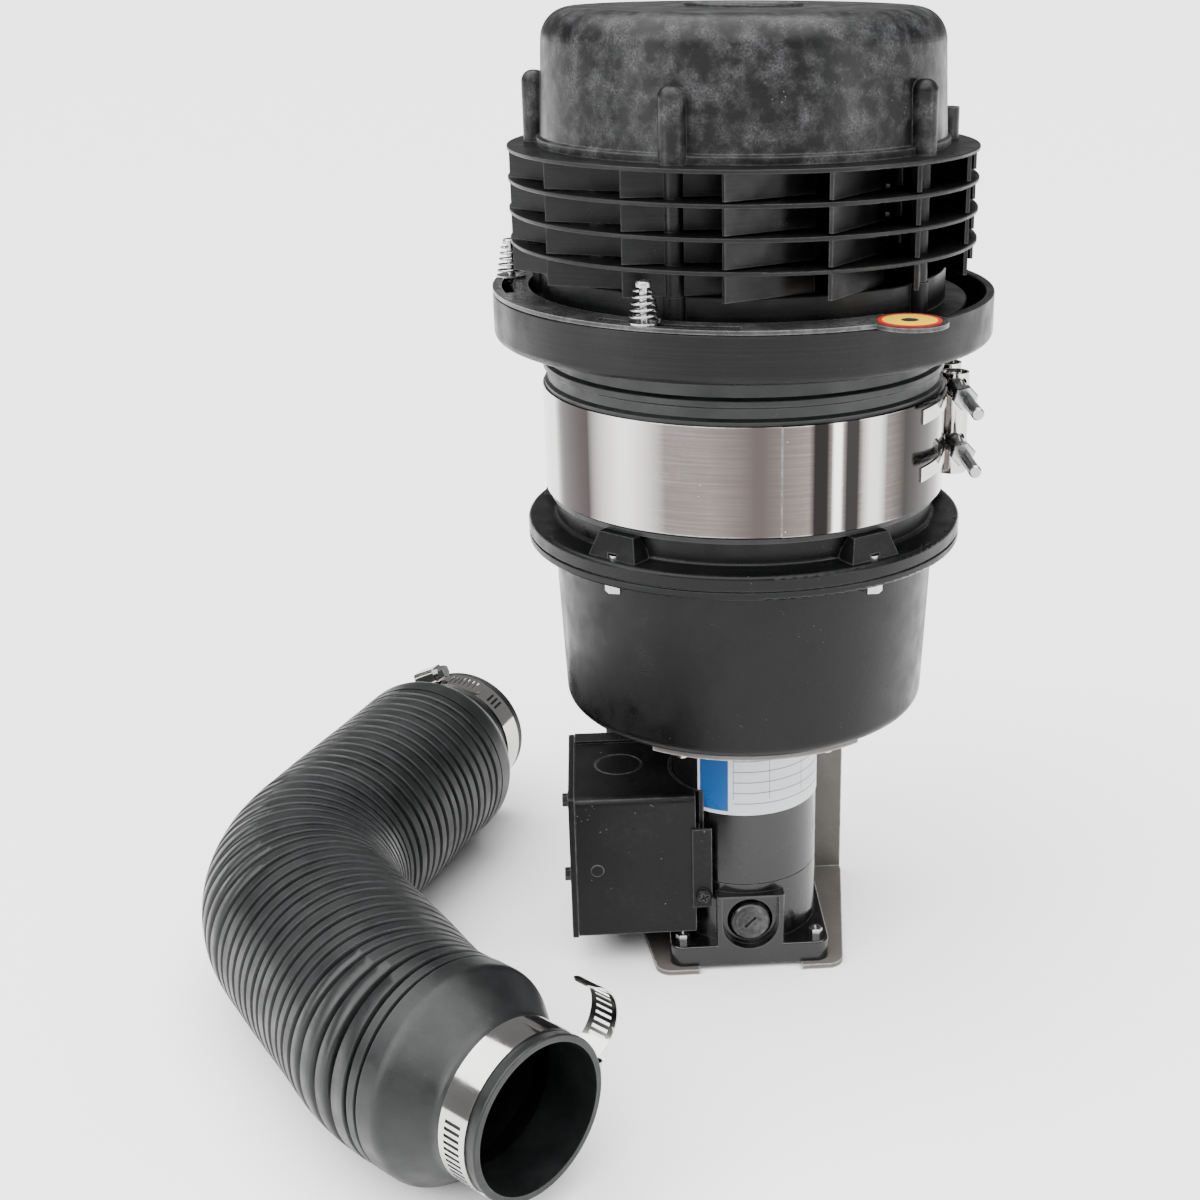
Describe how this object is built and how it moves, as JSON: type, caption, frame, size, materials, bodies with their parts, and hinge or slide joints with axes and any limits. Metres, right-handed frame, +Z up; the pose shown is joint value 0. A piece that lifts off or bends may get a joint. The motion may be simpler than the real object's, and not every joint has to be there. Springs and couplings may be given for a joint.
{
  "type": "powered air precleaner",
  "caption": "Powered cyclone precleaner: louvred dome head on a band joint, blower bowl and motor on a bent bracket, with a short clamped duct hose.",
  "frame": {"origin": "on the floor under the common axis of the motor, the blower and the head", "axes": "+Z up along the motor's axis, -Y towards the motor's name plate, +Y towards the bracket's back plate, -X towards the duct"},
  "size_m": [0.4145, 0.4536, 0.5016],
  "materials": {
    "dome_plastic": "dark grey moulded plastic, scuffed",
    "head_plastic": "satin black moulded plastic",
    "bowl_paint": "satin black paint",
    "motor_paint": "semi-gloss black paint",
    "bracket_paint": "brown-grey primer on steel",
    "box_coat": "black powder coat",
    "stainless": "rolled stainless strip",
    "zinc": "bright zinc plate",
    "rubber": "matt black rubber",
    "plate_print": "white and blue printed plate, no lettering",
    "label_print": "yellow label with a red border, no lettering",
    "bakelite": "black phenolic",
    "carbon": "pressed carbon",
    "copper": "copper wire and bars",
    "bronze": "sintered bronze",
    "core_steel": "bare electrical steel",
    "magnet": "grey ferrite",
    "wheel_alloy": "plain cast aluminium",
    "bearing_steel": "ground bearing steel"
  },
  "bodies": {
    "unit": {"band_clamp": "stainless", "band_loops": "stainless", "base_screws": "zinc", "blower_bowl": "bowl_paint", "bowl_bolts": "zinc", "box_cover": "box_coat", "box_cover_screws": "box_coat", "box_saddle": "box_coat", "brush_caps": "bakelite", "brush_holders": "bronze", "brush_springs": "zinc", "carbon_brushes": "carbon", "control_box": "box_coat", "dome_cap": "dome_plastic", "flange_bolts": "zinc", "flange_gasket": "rubber", "flanged_collar": "bowl_paint", "head_base": "head_plastic", "louver_ring_1": "head_plastic", "louver_ring_2": "head_plastic", "louver_ring_3": "head_plastic", "louver_ring_4": "head_plastic", "motor_base_bell": "motor_paint", "motor_bearings": "bearing_steel", "motor_magnets": "magnet", "motor_shell": "motor_paint", "motor_top_bell": "motor_paint", "mounting_bracket": "bracket_paint", "name_plate": "plate_print", "rubber_sleeve": "rubber", "saddle_screw": "box_coat", "shaft_seal": "rubber", "shutter_springs": "zinc", "shutter_washers": "zinc", "spinner_pin": "zinc", "spring_screws": "zinc", "tbolt_nuts": "zinc", "tbolt_trunnions": "zinc", "tbolts": "zinc", "terminal_block": "bakelite", "through_bolts": "zinc", "tie_bolts": "zinc", "trough_ring": "head_plastic"},
    "rotor": {"motor_shaft": "core_steel", "armature_core": "core_steel", "armature_windings": "copper", "commutator": "copper", "blower_wheel": "wheel_alloy", "wheel_nut": "zinc"},
    "spinner": {"dust_spinner": "head_plastic", "spinner_bush": "bronze"},
    "shutter": {"shutter_plate": "stainless", "shutter_label": "label_print"},
    "duct": {"duct_hose": "rubber", "near_cuff": "rubber", "far_cuff": "rubber", "clamp_bands": "stainless", "clamp_housings": "stainless"},
    "near_worm": {"near_worm_screw": "zinc"},
    "far_worm": {"far_worm_screw": "zinc"}
  },
  "joints": [
    {"name": "rotor_spin", "type": "hinge", "parent": "unit", "child": "rotor", "pos_m": [0, 0, 0.1], "axis": [0, 0, 1], "continuous": true},
    {"name": "spinner_spin", "type": "hinge", "parent": "unit", "child": "spinner", "pos_m": [0, 0, 0.46], "axis": [0, 0, 1], "continuous": true},
    {"name": "shutter_turn", "type": "hinge", "parent": "unit", "child": "shutter", "pos_m": [0, 0, 0.369], "axis": [0, 0, 1], "range_deg": [-20, 10]},
    {"name": "duct_lift", "type": "slide", "parent": "unit", "child": "duct", "axis": [0, 0, 1], "range_m": [0, 0.25]},
    {"name": "near_worm_turn", "type": "hinge", "parent": "duct", "child": "near_worm", "pos_m": [-0.08882, -0.19827, 0.0466], "axis": [0.0979, 0.0989, 0.9903], "continuous": true},
    {"name": "far_worm_turn", "type": "hinge", "parent": "duct", "child": "far_worm", "pos_m": [-0.18526, 0.16767, 0.09197], "axis": [0.8464, -0.3436, 0.4067], "continuous": true}
  ]
}
